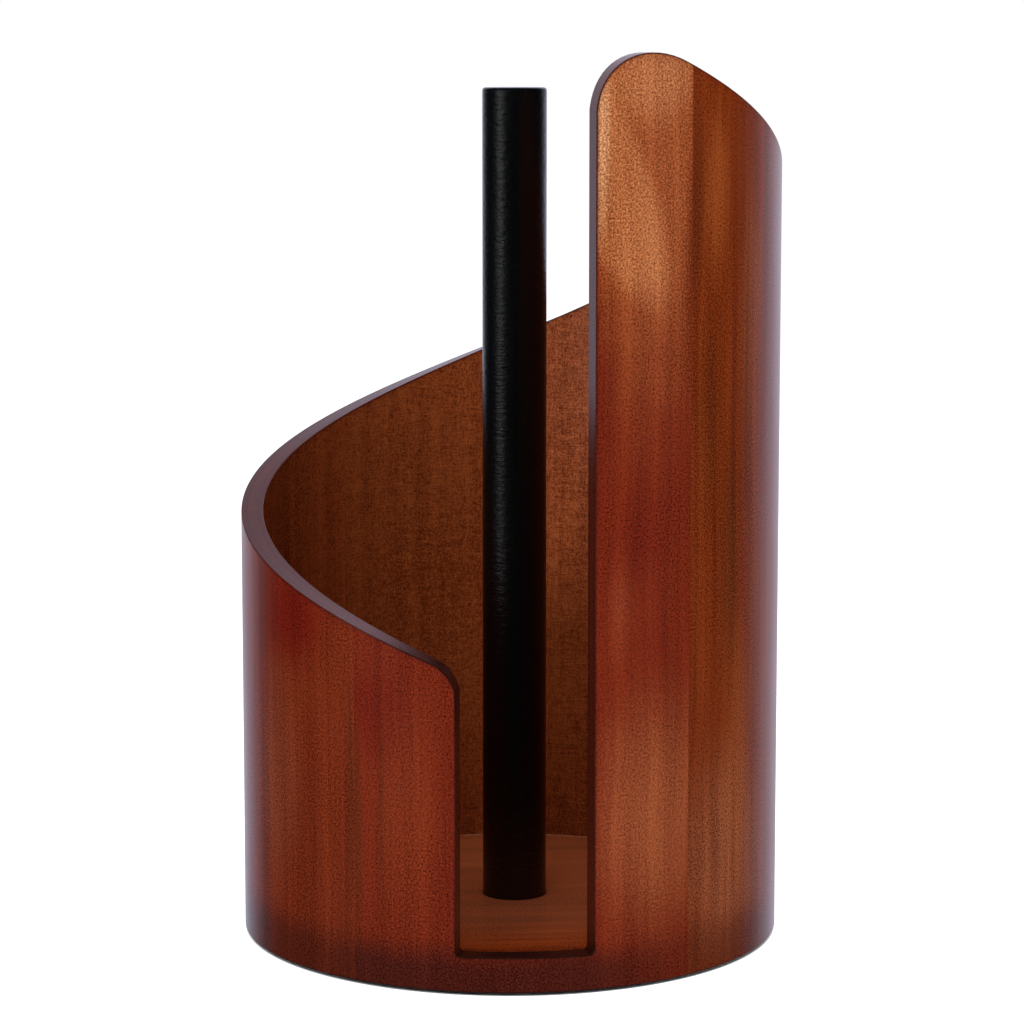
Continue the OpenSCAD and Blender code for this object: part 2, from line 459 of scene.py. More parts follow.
# A turn is counted in degrees from the middle of the slot, clockwise from above, so that
# the low side comes first and the tall side last
slot_half = 14.0             # turn from the middle of the slot to its side
sill_height = 0.012          # closed ring of shell under the slot
ramp_low = 0.106             # height of the ramp at the slot's left side
ramp_high = 0.317            # height of the ramp at the slot's right side
ramp_sag = 0.014             # how far it hangs below a straight line at the back
low_round = 0.008            # radius of the low side's corner
nose_run = 0.034             # how far back from the slot the tall side's nose begins
nose_drop = 0.032            # how far the nose has fallen at the slot
sill_fillet = 0.0015
rim_lap = 0.1                # turn that the rim's cut runs on past the slot's sides
shell_radius = cad_high.x
foot_z = board_low.z
edge_run = math.pi * 2 * shell_radius * (180 - slot_half) / 180      # the rim laid flat
half_glue = 0.000025         # each layer is shown with its half of the glue line


def corner_drop(gap, run, drop):
    """How far a rounded corner has fallen at a distance from the slot's side."""
    if gap >= run:
        return 0.0
    return drop * (1 - math.sqrt(max(0.0, 1 - ((run - gap) / run) ** 2)))


def rim_height(turn):
    """Height of the rim above the foot. Turns run from the slot's left side round the back."""
    along = (turn - slot_half + rim_lap) / (360 - 2 * (slot_half - rim_lap))
    ramp = ramp_low + (ramp_high - ramp_low) * along
    ramp -= ramp_sag * math.sin(math.pi * along) ** 2
    ramp -= corner_drop(along * edge_run, low_round, low_round)
    return ramp - corner_drop((1 - along) * edge_run, nose_run, nose_drop)


def sill_top(turn):
    """Height of the sill above the foot, with the small fillets that the cutter leaves."""
    gap = math.radians(slot_half - abs(turn)) * shell_radius
    return sill_height + corner_drop(gap, sill_fillet, sill_fillet)


def bunched(run, count):
    """Angles of places across a rounded corner, close together at the slot's side."""
    steps = [1 - math.cos(math.pi / 2 * k / count) for k in range(count + 1)]
    return [math.degrees(run * s / shell_radius) for s in steps]


# The columns of points round the ring, given as turns, are close together at the corners
in_slot = [-slot_half + d for d in bunched(sill_fillet, 5)[1:]]
in_slot += list(np.linspace(in_slot[-1], -in_slot[-1], 20)[1:-1])
in_slot += [slot_half - d for d in reversed(bunched(sill_fillet, 5)[1:])]
low_corner = [slot_half + d for d in bunched(low_round, 12)]
nose = [360 - slot_half - d for d in reversed(bunched(nose_run, 18))]
on_ramp = list(np.linspace(low_corner[-1], nose[0], 200)[1:-1])
full_turn = in_slot + low_corner + on_ramp + nose

lower_levels = (0.0015, 0.004, 0.008, 0.0105)    # rows above the foot, below the sill
below_rim = (0.014, 0.009, 0.005, 0.0025, 0.001)  # rows under the rim, for its toning
middle_rows = 8
mid_row = len(lower_levels) + 1                  # the row at the sill
top_row = mid_row + middle_rows + len(below_rim) + 1
ease_steps = 4
least_ease = 0.0001          # a smaller ease is one plain chamfer
same_turn = 1e-6             # turns closer than this are one place
closest_turns = 0.04         # what a sheet's end keeps from its next column
on_face, on_edge, on_butt = 0, 1, 2              # the parts of a sheet's surface


def part_of_ring(turn):
    """Whether a turn lies on the wall, on the slot's side, or in the slot."""
    past_side = abs(turn) - slot_half
    if past_side > same_turn:
        return "wall"
    return "side" if abs(past_side) <= same_turn else "slot"


def heights_to_rim(top):
    """Heights above the foot of the rows between the sill's fillet and the rim."""
    low = sill_height + sill_fillet
    gap = top - below_rim[0] - low
    middle = [low + gap * k / (middle_rows + 1) for k in range(middle_rows + 1)]
    return middle + [top - d for d in below_rim] + [top]


def upper_outline(turns, wrapped, kinds):
    """A sheet's upper edge, drawn on the outer face laid flat: along the rim, down and up the
    slot's sides, and along the sill. Gives its stations, each with its column and row, then
    their places, and the way that the edge faces at each."""
    stations = []
    for c, w in enumerate(wrapped):
        x = math.radians(turns[c]) * shell_radius
        if kinds[c] == "slot":
            stations.append((c, mid_row, x, sill_top(w)))
            continue
        top = rim_height(w % 360 if w > 0 else 360 - slot_half)
        if kinds[c] == "wall":
            stations.append((c, top_row, x, top))
            continue
        climb = [(c, mid_row + k, x, z) for k, z in enumerate(heights_to_rim(top))]
        stations += climb if w > 0 else list(reversed(climb))
    path = np.array([(s[2], s[3]) for s in stations])
    step = np.diff(path, axis=0)
    step /= np.linalg.norm(step, axis=1)[:, None]
    tangent = np.vstack([step[:1], (step[1:] + step[:-1]) / 2, step[-1:]])
    tangent /= np.linalg.norm(tangent, axis=1)[:, None]
    outward = np.stack([-tangent[:, 1], tangent[:, 0]], axis=1)
    return stations, path, outward


def keep_layout(mesh, flats, path):
    """Keeps where each point lies on its flat sheet, and how far it is from the upper edge.
    The stain is laid on by these."""
    laid = mesh.attributes.new("laid_flat", "FLOAT_VECTOR", "POINT")
    laid.data.foreach_set("vector", [c for f in flats for c in f])
    spots = np.array([(f[0], f[2] - foot_z) for f in flats])
    away = np.full(len(spots), 1.0)
    for a, b in zip(path[:-1], path[1:]):
        span = b - a
        share = np.clip(((spots - a) @ span) / (span @ span), 0, 1)
        away = np.minimum(away, np.linalg.norm(spots - a - share[:, None] * span, axis=1))
    rim_gap = mesh.attributes.new("rim_gap", "FLOAT", "POINT")
    rim_gap.data.foreach_set("value", away.astype(np.float32))


def bent_sheet(name, inner, outer, start, end, ease_in, ease_out):
    """One bent layer of the shell between two radii and two turns: a closed mesh with its
    rim, slot sides and foot eased, and with the sheet's flat layout kept in it."""
    turns = sorted(t + 360 * k for t in full_turn for k in (-1, 0, 1))
    between = [t for t in turns if start + closest_turns < t < end - closest_turns]
    turns = [start] + between + [end]
    wrapped = [(t + slot_half) % 360 - slot_half for t in turns]
    wrapped = [w if w < 360 - slot_half - same_turn else -slot_half for w in wrapped]
    kinds = [part_of_ring(w) for w in wrapped]
    stations, path, outward = upper_outline(turns, wrapped, kinds)
    at_station = {(s[0], s[1]): k for k, s in enumerate(stations)}
    points, normals, flats = [], [], []

    def add(turn, radius, z, radial, sideways, upward):
        """Adds a point and the direction that its surface faces."""
        s, c = math.sin(turn), math.cos(turn)
        points.append((-radius * s, -radius * c, foot_z + z))
        normals.append((-radial * s - sideways * c, -radial * c + sideways * s, upward))
        flats.append((turn * shell_radius, radius, foot_z + z))
        return len(points) - 1

    def face(radius, ease, facing):
        """The rows and columns of points on one face. Gives their numbers."""
        grid = []
        for c, w in enumerate(wrapped):
            last = mid_row if kinds[c] == "slot" else top_row
            k = at_station[c, last]
            turn = (path[k, 0] - ease * outward[k, 0]) / shell_radius
            top = path[k, 1] - ease * outward[k, 1]
            if kinds[c] == "side":
                turn = math.radians(turns[c]) + math.copysign(ease, w) / shell_radius
            rows = [ease] + list(lower_levels)
            rows += [top] if kinds[c] == "slot" else heights_to_rim(top)
            grid.append([add(turn, radius, z, facing, 0, 0) for z in rows])
        return grid

    outside = face(outer, ease_out, 1)
    inside = face(inner, ease_in, -1)

    def edge_strip(c, row, x, z, out_x, out_z):
        """The points over an edge, from the outer face to the inner face. X is where the
        edge lies on each of them, and out is the way the edge faces."""
        strip = [outside[c][row]]
        steps_out = ease_steps if ease_out > least_ease else 1
        steps_in = ease_steps if ease_in > least_ease else 1
        for k in range(1, steps_out + 1):
            a = math.pi / 2 * k / steps_out
            inset = ease_out * (1 - math.sin(a))
            strip.append(add(
                (x[0] - inset * out_x) / shell_radius, outer - ease_out * (1 - math.cos(a)),
                z - inset * out_z, math.cos(a), out_x * math.sin(a), out_z * math.sin(a),
            ))
        for k in range(steps_in, 0, -1):
            a = math.pi / 2 * k / steps_in
            inset = ease_in * (1 - math.sin(a))
            strip.append(add(
                (x[1] - inset * out_x) / shell_radius, inner + ease_in * (1 - math.cos(a)),
                z - inset * out_z, -math.cos(a), out_x * math.sin(a), out_z * math.sin(a),
            ))
        return strip + [inside[c][row]]

    rim = [
        edge_strip(s[0], s[1], (s[2], s[2]), s[3], *outward[k]) for k, s in enumerate(stations)
    ]
    foot = []
    for c in range(len(turns)):
        x_out = flats[outside[c][0]][0]
        x_in = flats[inside[c][0]][0]
        foot.append(edge_strip(c, 0, (x_out, x_in), 0.0, 0.0, -1.0))

    faces, surface = [], []

    def quads(one, other, what):
        """Joins two rows of points with faces, and notes what part of the sheet they are."""
        for k in range(min(len(one), len(other)) - 1):
            faces.append((one[k], one[k + 1], other[k + 1], other[k]))
            surface.append(what)

    for grid in (outside, inside):
        for c in range(len(turns) - 1):
            last = mid_row if "slot" in (kinds[c], kinds[c + 1]) else top_row
            quads(grid[c][:last + 1], grid[c + 1][:last + 1], on_face)
    for k in range(len(rim) - 1):
        quads(rim[k], rim[k + 1], on_edge)
    for c in range(len(foot) - 1):
        quads(foot[c], foot[c + 1], on_edge)
    for c, strip in ((0, rim[0]), (len(turns) - 1, rim[-1])):
        quads(outside[c], inside[c], on_butt)
        faces.append(tuple(strip))
        faces.append(tuple(foot[c]))
        surface += [on_butt, on_butt]

    mesh = bpy.data.meshes.new(name)
    mesh.from_pydata(points, [], faces)
    face_outward(mesh)
    # The first material is the face's and the second is the cut edge's
    mesh.polygons.foreach_set("material_index", [0 if s == on_face else 1 for s in surface])
    mesh.shade_smooth()
    facing = []
    for polygon in mesh.polygons:
        butted = surface[polygon.index] == on_butt
        for vertex in polygon.vertices:
            facing.append(polygon.normal[:] if butted else normals[vertex])
    mesh.normals_split_custom_set(facing)
    keep_layout(mesh, flats, path)
    return fix_to_holder(name, mesh)


# The cut edges drink the stain and come out dark, and the lacquer on them is smooth. Each
# ply shows as a slightly different tone, as some are cut across their grain.
def edge_stain(name, seed, streaks, lift):
    """The stained and lacquered cut edge of one ply."""
    material, tree, shader = start_material(name, Specular_IOR_Level=0.4)
    where = sheet_place(tree)
    grain = use_group(
        tree, stained_wood, place=where, seed=seed,
        ground=rgb(66 + lift, 22, 12), streaks=streaks, speckle=0.10, clouds=0.15, weave=0.0,
    )
    # Stain ran down the slot's sides and soaked the sill, and it gathered in the low corner
    up = node(tree, "SeparateXYZ", {0: where}).outputs[2]
    near_sill = fade(tree, up, foot_z + sill_height + 0.012, foot_z + sill_height)
    soaked = maths(tree, "MULTIPLY", near_sill, 0.85)
    stained_edge = mix(tree, soaked, grain["Color"], rgb(24, 8, 6))
    along = node(tree, "SeparateXYZ", {0: where}).outputs[0]
    near_low_corner = maths(
        tree, "MULTIPLY", fade(tree, along, 0.058, 0.034), fade(tree, along, 0.0, 0.02)
    )
    on_rim = fade(tree, up, foot_z + ramp_low - 0.030, foot_z + ramp_low - 0.002)
    near_low_corner = maths(tree, "MULTIPLY", near_low_corner, on_rim)
    near_low_corner = maths(tree, "MULTIPLY", near_low_corner, 0.75)
    stained_edge = mix(tree, near_low_corner, stained_edge, rgb(20, 8, 9))
    wire_surface(
        tree, shader, stained_edge, grain["Roughness"], grain["Height"], depth=0.00003
    )
    return material


radius_of = {
    "outer_cross_ply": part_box("outer_cross_ply")[1].x,
    "centre_ply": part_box("centre_ply")[1].x,
    "inner_cross_ply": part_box("inner_cross_ply")[1].x,
    "inner_leaf": -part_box("inner_leaf_left")[0].x,
    "well": board_radius + 2 * half_glue,        # the clear inside, which the board fills
}
butt_gap = 0.00003           # half of the joint where a sheet's two ends meet
bare_ease = 0.00003          # an edge that is only cut, and not eased
plies = (
    # name, the next layer in, streaks on its cut edge, how much redder that edge is
    ("outer_cross_ply", "centre_ply", 0.1, 0),
    ("centre_ply", "inner_cross_ply", 0.2, 4),
    ("inner_cross_ply", "inner_leaf", 0.1, 0),
)
for number, (ply, next_in, streaks, lift) in enumerate(plies):
    butt = math.degrees(butt_gap / radius_of[ply])
    sheet = bent_sheet(
        ply + "_bent", radius_of[next_in] + half_glue, radius_of[ply] + half_glue,
        butt, 360 - butt, ease_in=bare_ease, ease_out=bare_ease,
    )
    stain = edge_stain("Cut edge, " + ply.replace("_", " "), 1.3 * number, streaks, lift)
    sheet.data.materials.append(stain)
    sheet.data.materials.append(stain)
    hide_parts(ply)


# ------------------------------------------------------------------ inner face leaves
# Five leaves of thin veneer line the inside, butted edge to edge. They were stained golden
# brown, and the press cloth left a fine woven mark in them. Their inner arris is eased.

# A cloud on a sheet laid flat, for stain and for one painted highlight: an oval with a torn
# outline, soft from its outer edge to its heart. The lean turns it, in radians.
stain_and_highlight_cloud, given, taken = start_group(
    "Stain and highlight cloud",
    [
        ("Place", "Vector", None),
        ("Along", "Float", 0.0),
        ("Up", "Float", 0.1),
        ("Half width", "Float", 0.02),
        ("Half height", "Float", 0.04),
        ("Lean", "Float", 0.0),
        ("Ragged", "Float", 0.3),
        ("Heart", "Float", 0.2),
    ],
    [("Mask", "Float")],
)
centre = node(stain_and_highlight_cloud, "CombineXYZ", {0: given["Along"], 2: given["Up"]}).outputs[0]
offset = vector_maths(stain_and_highlight_cloud, "SUBTRACT", given["Place"], centre)
offset = vector_maths(stain_and_highlight_cloud, "MULTIPLY", offset, (1, 0, 1))
turned = node(
    stain_and_highlight_cloud, "VectorRotate",
    {"Vector": offset, "Axis": (0, 1, 0), "Angle": given["Lean"]},
    rotation_type="AXIS_ANGLE",
).outputs[0]
size = node(
    stain_and_highlight_cloud, "CombineXYZ",
    {0: given["Half width"], 1: 1.0, 2: given["Half height"]},
).outputs[0]
scaled = vector_maths(stain_and_highlight_cloud, "DIVIDE", turned, size)
torn = node(
    stain_and_highlight_cloud, "TexNoise",
    {"Vector": given["Place"], "Scale": 70.0, "Detail": 3.0, "Roughness": 0.55},
).outputs[1]
torn = vector_maths(stain_and_highlight_cloud, "SUBTRACT", torn, (0.5, 0.5, 0.5))
torn = node(
    stain_and_highlight_cloud, "VectorMath", {0: torn, "Scale": given["Ragged"]}, operation="SCALE",
).outputs[0]
reach = node(
    stain_and_highlight_cloud, "VectorMath",
    {0: vector_maths(stain_and_highlight_cloud, "ADD", scaled, torn)}, operation="LENGTH",
).outputs["Value"]
stain_and_highlight_cloud.links.new(fade(stain_and_highlight_cloud, reach, 1.0, given["Heart"]), taken.inputs["Mask"])

# Where the stain gathered on a leaf: along the rim, in a band at the foot with a wavering
# top, and on the arris itself.
edge_tone, given, taken = start_group(
    "Edge toning",
    [("Place", "Vector", None), ("Reach", "Float", 0.003), ("Foot band", "Float", 0.0145)],
    [("Rim", "Float"), ("Foot", "Float"), ("Arris", "Float")],
)
gap = node(edge_tone, "Attribute", attribute_name="rim_gap", attribute_type="GEOMETRY")
gap = gap.outputs["Fac"]
waver = stretched_noise(edge_tone, given["Place"], (60, 60, 60), 3.0, 0.6)
waver = maths(edge_tone, "MULTIPLY", maths(edge_tone, "SUBTRACT", waver, 0.5), 0.004)
wavering_gap = maths(edge_tone, "ADD", gap, waver)
edge_tone.links.new(
    fade(edge_tone, wavering_gap, given["Reach"], 0.0), taken.inputs["Rim"]
)
edge_tone.links.new(fade(edge_tone, gap, 0.0010, 0.0004), taken.inputs["Arris"])
height = node(edge_tone, "SeparateXYZ", {0: given["Place"]}).outputs[2]
wavering_height = maths(edge_tone, "ADD", height, waver)
slow = stretched_noise(edge_tone, given["Place"], (14, 14, 14), 2.0, 0.5)
slow = maths(edge_tone, "MULTIPLY", maths(edge_tone, "SUBTRACT", slow, 0.5), 0.012)
wavering_height = maths(edge_tone, "ADD", wavering_height, slow)
foot_top = maths(edge_tone, "ADD", given["Foot band"], 0.0075)
foot_start = maths(edge_tone, "SUBTRACT", given["Foot band"], 0.0060)
edge_tone.links.new(
    fade(edge_tone, wavering_height, foot_top, foot_start), taken.inputs["Foot"]
)

inner_leaves = (
    # name, first turn, last turn, warmth of the stain, streaks, weave
    ("inner_leaf_front_left", -6, 66, 0.35, 0.34, 0.50),
    ("inner_leaf_left", 66, 138, 0.60, 0.42, 0.52),
    ("inner_leaf_back", 138, 210, 0.30, 0.34, 0.62),
    ("inner_leaf_right", 210, 282, 0.85, 0.34, 0.54),
    ("inner_leaf_front_right", 282, 354, 0.50, 0.34, 0.50),
)
leaf_seam = 0.00005
inner_seam = math.degrees(leaf_seam / radius_of["inner_leaf"])
inner_arris = 0.0005
leaf_edge = edge_stain("Cut edge, face leaf", 7.7, 0.3, 4)
for number, (leaf, first, last, warmth, streaks, weave) in enumerate(inner_leaves):
    sheet = bent_sheet(
        leaf + "_bent", radius_of["well"], radius_of["inner_leaf"] + half_glue,
        first, last - inner_seam, ease_in=inner_arris, ease_out=bare_ease,
    )
    material, tree, shader = start_material("Inner veneer, " + leaf.replace("_", " "))
    where = sheet_place(tree)
    golden = mix(tree, warmth, rgb(128, 61, 27), rgb(132, 55, 24))
    if leaf == "inner_leaf_back":
        # One wide pale patch, where the stain was wiped off thin
        pale = use_group(
            tree, stain_and_highlight_cloud, place=where, along=math.radians(195) * shell_radius, up=0.165,
            half_width=0.034, half_height=0.085, lean=0.0, ragged=0.25, heart=0.35,
        )
        golden = mix(tree, maths(tree, "MULTIPLY", pale["Mask"], 0.85), golden, rgb(182, 92, 50))
    tones = use_group(tree, edge_tone, place=where, reach=0.0025, foot_band=0.012)
    shaded = maths(tree, "MULTIPLY", tones["Rim"], 0.35)
    golden = mix(tree, shaded, golden, rgb(70, 28, 14))
    grain = use_group(
        tree, stained_wood, place=where, seed=11.3 + 2.9 * number, ground=golden,
        streaks=streaks, speckle=0.32, clouds=0.16, weave=weave,
    )
    wire_surface(
        tree, shader, grain["Color"], grain["Roughness"], grain["Height"], depth=0.00007
    )
    sheet.data.materials.append(material)
    sheet.data.materials.append(leaf_edge)
    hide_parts(leaf)


# ------------------------------------------------------------------ outer face leaves
# Five leaves of the same thin veneer cover the outside, grain upright, butted edge to edge.
# The red stain was wiped on by hand: it lies in clouds, darkens towards the rim and the
# foot, and each leaf took it in its own way. A pale strip beside the slot's right side is a
# painted highlight. Satin lacquer covers it all.

red = rgb(115, 34, 10)
deep_red = rgb(104, 18, 6)
russet = rgb(137, 54, 21)
orange = rgb(166, 84, 36)
burgundy = rgb(66, 22, 15)
olive = rgb(84, 42, 12)

# Clouds of stain on each leaf, and on the front leaf one painted highlight: colour, strength,
# turn, height, half width, half height, lean, ragged, and heart, the share of the cloud that
# has its full strength
front_clouds = (
    # The tall side, from its pale top down to the reds and the tan patch above the foot
    (rgb(160, 80, 38), 0.95, -25, 0.304, 0.060, 0.140, 0.0, 0.20, 0.32),
    (rgb(188, 112, 66), 0.70, -15, 0.270, 0.0175, 0.056, -0.45, 0.12, 0.66),
    (rgb(186, 112, 68), 0.70, -24, 0.302, 0.030, 0.024, 0.0, 0.20, 0.30),
    # Painted highlight: a pale upright strip just past the slot's right side, where the tall
    # side's face catches the light
    (rgb(214, 148, 102), 0.9, -14.6, 0.282, 0.0050, 0.042, 0.0, 0.05, 0.35),
    (rgb(116, 42, 13), 0.75, -36.2, 0.235, 0.0048, 0.075, 0.0, 0.10, 0.10),
    (rgb(104, 27, 10), 0.80, -13.5, 0.200, 0.0140, 0.048, 0.0, 0.25, 0.10),
    (rgb(104, 24, 8), 0.60, -23, 0.148, 0.018, 0.026, 0.3, 0.40, 0.0),
    (rgb(132, 54, 28), 0.50, -19.5, 0.128, 0.007, 0.026, 0.0, 0.30, 0.0),
    (rgb(148, 73, 39), 0.80, -28, 0.058, 0.034, 0.056, 0.0, 0.25, 0.15),
    # The low side, left of the slot
    (rgb(104, 20, 5), 0.7, 32, 0.092, 0.020, 0.022, -0.3, 0.40, 0.10),
    (russet, 0.40, 24, 0.056, 0.016, 0.050, 0.0, 0.35, 0.10),
    (olive, 0.30, 29.5, 0.058, 0.0016, 0.045, 0.0, 0.10, 0.30),
    (olive, 0.45, 35.2, 0.050, 0.0020, 0.048, 0.0, 0.10, 0.30),
)
left_clouds = (
    (rgb(104, 15, 4), 0.85, 54, 0.121, 0.026, 0.026, 0.0, 0.30, 0.15),
    (rgb(84, 18, 8), 0.45, 66, 0.120, 0.012, 0.044, 0.0, 0.20, 0.10),
    (rgb(126, 58, 34), 0.55, 60, 0.066, 0.020, 0.050, 0.0, 0.30, 0.20),
    (olive, 0.35, 37.2, 0.060, 0.0022, 0.050, 0.0, 0.10, 0.30),
    (orange, 0.25, 90, 0.070, 0.022, 0.050, 0.0, 0.35, 0.20),
)
right_clouds = (
    (orange, 0.40, 317, 0.262, 0.008, 0.040, 0.0, 0.25, 0.20),
    (rgb(92, 36, 8), 0.6, 322.4, 0.262, 0.0045, 0.050, 0.0, 0.10, 0.20),
    (olive, 0.30, 319, 0.188, 0.008, 0.050, 0.0, 0.20, 0.20),
    (olive, 0.40, 312, 0.140, 0.007, 0.060, 0.0, 0.20, 0.20),
    (rgb(146, 78, 48), 0.70, 312, 0.040, 0.034, 0.050, 0.0, 0.25, 0.20),
    (orange, 0.35, 304, 0.225, 0.010, 0.050, 0.0, 0.25, 0.20),
    (orange, 0.30, 308, 0.070, 0.012, 0.060, 0.0, 0.25, 0.20),
    (olive, 0.50, 306, 0.200, 0.0022, 0.080, 0.0, 0.10, 0.30),
    (olive, 0.50, 299, 0.130, 0.0016, 0.110, 0.0, 0.10, 0.30),
    (rgb(140, 62, 24), 0.50, 302.5, 0.150, 0.0030, 0.130, 0.0, 0.10, 0.30),
    (deep_red, 0.30, 294, 0.190, 0.018, 0.080, 0.0, 0.30, 0.20),
)
back_left_clouds = (
    (orange, 0.35, 128, 0.100, 0.026, 0.050, 0.2, 0.35, 0.20),
    (deep_red, 0.30, 160, 0.130, 0.024, 0.050, -0.3, 0.35, 0.20),
)
back_right_clouds = (
    (orange, 0.35, 200, 0.150, 0.026, 0.060, 0.2, 0.35, 0.20),
    (deep_red, 0.35, 232, 0.110, 0.024, 0.060, -0.3, 0.35, 0.20),
)
outer_leaves = (
    # name, first turn, last turn, ground tone, streaks, stain at the foot, clouds of stain and
    # painted highlight
    ("outer_leaf_front", -36, 36, red, 0.34, 0.85, front_clouds),
    ("outer_leaf_left", 36, 108, rgb(116, 39, 12), 0.42, 0.65, left_clouds),
    ("outer_leaf_back_left", 108, 180, rgb(118, 42, 15), 0.16, 0.60, back_left_clouds),
    ("outer_leaf_back_right", 180, 252, rgb(122, 46, 16), 0.18, 0.55, back_right_clouds),
    ("outer_leaf_right", 252, 324, rgb(119, 44, 9), 0.44, 0.40, right_clouds),
)
outer_seam = math.degrees(leaf_seam / shell_radius)
outer_arris = 0.00038
for number, (leaf, first, last, tone, streaks, soaked, clouds) in enumerate(outer_leaves):
    sheet = bent_sheet(
        leaf + "_bent", radius_of["outer_cross_ply"] + half_glue, shell_radius,
        first, last - outer_seam, ease_in=bare_ease, ease_out=outer_arris,
    )
    material, tree, shader = start_material(
        "Outer veneer, " + leaf.replace("_", " "), Specular_IOR_Level=0.22
    )
    where = sheet_place(tree)
    ground = tone
    for tint, strength, turn, up, half_width, half_height, lean, ragged, heart in clouds:
        cloud = use_group(
            tree, stain_and_highlight_cloud, place=where, along=math.radians(turn) * shell_radius, up=up,
            half_width=half_width, half_height=half_height, lean=lean, ragged=ragged,
            heart=heart,
        )
        ground = mix(tree, maths(tree, "MULTIPLY", cloud["Mask"], strength), ground, tint)
    tones = use_group(tree, edge_tone, place=where, reach=0.0035, foot_band=0.0140)
    ground = mix(tree, maths(tree, "MULTIPLY", tones["Rim"], 0.25), ground, deep_red)
    # The foot was dipped deeper in the stain towards the left
    along = node(tree, "SeparateXYZ", {0: where}).outputs[0]
    foot_stain = maths(tree, "MULTIPLY", tones["Foot"], soaked)
    if leaf == "outer_leaf_front":
        dipped = fade(tree, along, -0.060, -0.018, low=0.35)
        foot_stain = maths(tree, "MULTIPLY", foot_stain, dipped)
    ground = mix(tree, foot_stain, ground, burgundy)
    ground = mix(tree, maths(tree, "MULTIPLY", tones["Arris"], 0.45), ground, rgb(52, 18, 14))
    grain = use_group(
        tree, stained_wood, place=where, seed=23.1 + 3.3 * number, ground=ground,
        streaks=streaks, speckle=0.54, clouds=0.16, weave=0.06,
    )
    wire_surface(
        tree, shader, grain["Color"], grain["Roughness"], grain["Height"], depth=0.00005
    )
    sheet.data.materials.append(material)
    sheet.data.materials.append(leaf_edge)
    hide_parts(leaf)


# ------------------------------------------------------------------ felt pads
# Four thin discs of pressed black felt, glued under the base board, so that the holder
# doesn't slide or scratch. Cut with a punch, they keep a slightly fuzzy, uneven edge.

felt, tree, shader = start_material("Pads, pressed felt", Sheen_Weight=0.25)
spot = node(tree, "TexCoord").outputs["Object"]
fibre = stretched_noise(tree, spot, (1400, 1400, 1400), 4.0, 0.7)
matted = stretched_noise(tree, spot, (260, 260, 260), 2.0)
colour = mix(tree, fibre, rgb(18, 17, 17), rgb(54, 51, 50))
dull = maths(tree, "ADD", maths(tree, "MULTIPLY", matted, 0.1), 0.88)
wire_surface(tree, shader, colour, dull, fibre, depth=0.0002)

pad_core = 0.009             # only outside this radius is the felt fuzzy
pad_fuzz = 0.00012
pad_ease = 0.0003


def punched_edge(angle, radius, z):
    """How far the felt's cut edge falls short of the punch's circle."""
    if radius < pad_core:
        return 0.0
    spot_on_edge = Vector((math.cos(angle) * 6, math.sin(angle) * 6, z * 900))
    return pad_fuzz * (noise.noise(spot_on_edge) - 1)


for pad in ("pad_front_left", "pad_back_left", "pad_back_right", "pad_front_right"):
    low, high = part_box(pad)
    radius = (high.x - low.x) / 2
    rings = [(0.0, 0.0, low.z), (0.0, radius * 0.5, low.z)]
    rings += reversed(rounded(0.0, radius, low.z, pad_ease, up=-1, steps=3))
    rings += rounded(0.0, radius, high.z, pad_ease, up=1, steps=3)
    rings += [(0.0, radius * 0.5, high.z), (0.0, 0.0, high.z)]
    disc = ringed_solid(pad + "_felt", rings, sides=72, closed=False, ripple=punched_edge)
    middle = (low + high) / 2
    for vertex in disc.data.vertices:
        vertex.co.x += middle.x
        vertex.co.y += middle.y
    disc.data.materials.append(felt)
    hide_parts(pad)


# ------------------------------------------------------------------ table, light and camera
# A white seamless table, soft boxes at the left, right, front and top, a narrow one for the
# long highlight on the post, and a bright wall behind the holder, whose pale sheen lies on
# its sides and on the rim.

table_half = 6.0
table_mesh = bpy.data.meshes.new("table")
table_mesh.from_pydata(
    [(-table_half, -table_half, 0), (table_half, -table_half, 0),
     (table_half, table_half, 0), (-table_half, table_half, 0)],
    [], [(0, 1, 2, 3)],
)
table = bpy.data.objects.new("table", table_mesh)
bpy.context.scene.collection.objects.link(table)
paper, tree, shader = start_material(
    "Table, white paper", Base_Color=(0.7, 0.7, 0.7, 1), Roughness=0.9,
    Specular_IOR_Level=0.0, Emission_Color=(1, 1, 1, 1),
)
# To the camera the paper is plain white round the holder, and only under its foot is it dark
glow = maths(tree, "MULTIPLY", node(tree, "LightPath").outputs["Is Camera Ray"], 0.95)
spot = vector_maths(tree, "MULTIPLY", node(tree, "TexCoord").outputs["Object"], (1, 1, 0))
from_axis = node(tree, "VectorMath", {0: spot}, operation="LENGTH").outputs["Value"]
open_table = fade(tree, from_axis, shell_radius - 0.0012, shell_radius + 0.0003)
glow = maths(tree, "MULTIPLY", glow, open_table)
tree.links.new(glow, shader.inputs["Emission Strength"])
table.data.materials.append(paper)
table.visible_glossy = False

world = bpy.data.worlds.new("studio")
bpy.context.scene.world = world
world.use_nodes = True
tree = world.node_tree
tree.nodes.clear()
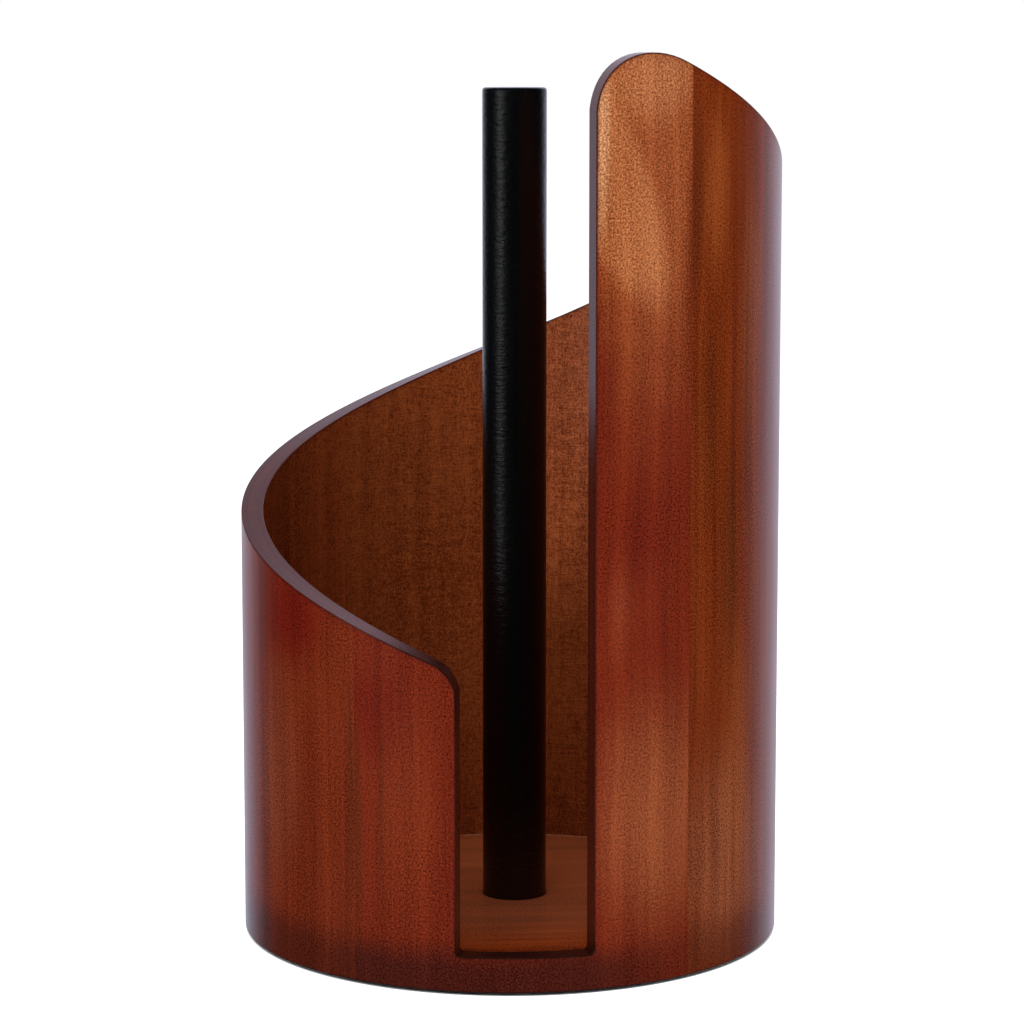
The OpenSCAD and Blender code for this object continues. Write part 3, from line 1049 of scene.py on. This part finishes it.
# The room is dark in front and brightens towards the wall at the back
direction = node(tree, "TexCoord").outputs["Generated"]
parts = node(tree, "SeparateXYZ", {0: direction}).outputs
depth = maths(tree, "ADD", parts[1], maths(tree, "MULTIPLY", parts[0], 0.13))
room = fade(tree, depth, 0.45, 1.02, 0.012, 1.15)
seen = node(tree, "Background", {"Color": (1, 1, 1, 1), "Strength": 1.0})
lit = node(tree, "Background", {"Color": (0.90, 0.92, 1.14, 1), "Strength": room})
camera_ray = node(tree, "LightPath").outputs["Is Camera Ray"]
choose = node(tree, "MixShader", {0: camera_ray, 1: lit.outputs[0], 2: seen.outputs[0]})
node(tree, "OutputWorld", {"Surface": choose.outputs[0]})

middle_height = (cad_low.z + cad_high.z) / 2


def soft_box(name, azimuth, height, away, width, tall, power, mirrored):
    """A soft box that faces the middle of the holder. Azimuth 0 is in front, 90 at +X.
    Only a mirrored one shows in the lacquer."""
    lamp = bpy.data.lights.new(name, "AREA")
    lamp.shape = "RECTANGLE"
    lamp.size = width
    lamp.size_y = tall
    lamp.energy = power
    box = bpy.data.objects.new(name, lamp)
    a = math.radians(azimuth)
    box.location = (away * math.sin(a), -away * math.cos(a), height)
    aim = Vector((0, 0, middle_height)) - box.location
    box.rotation_euler = aim.to_track_quat("-Z", "Y").to_euler()
    box.visible_glossy = mirrored
    bpy.context.scene.collection.objects.link(box)


for box_row in (
    # name, azimuth, height, away, width, tall, watts, mirrored
    ("left box", -60, 0.7, 1.7, 0.8, 1.3, 3.2, False),
    ("right box", 60, 0.7, 1.7, 0.8, 1.3, 12, False),
    ("front box", -24, 1.10, 1.5, 1.0, 0.8, 16, False),
    ("narrow box", -56, 0.5, 1.6, 0.5, 0.9, 1.9, True),
    ("top box", 0, 1.8, 0.15, 1.0, 1.0, 20, False),
):
    soft_box(*box_row)

# The camera stands in front, a little above the rim, and looks down on the holder
camera_turn = math.radians(-3.1)
camera_away = 1.1195
camera_height = 0.310
looking_down = 7.089         # degrees
camera = bpy.data.cameras.new("camera")
camera.lens = 113.26
camera.sensor_width = 36
camera.shift_x = 0.00205
camera.shift_y = -0.0662
camera.clip_start = 0.05
camera.clip_end = 30
camera_object = bpy.data.objects.new("camera", camera)
camera_object.location = (
    camera_away * math.sin(camera_turn), -camera_away * math.cos(camera_turn), camera_height
)
camera_object.rotation_euler = (math.radians(90 - looking_down), 0, camera_turn)
bpy.context.scene.collection.objects.link(camera_object)
bpy.context.scene.camera = camera_object
bpy.context.scene.view_settings.view_transform = "Standard"
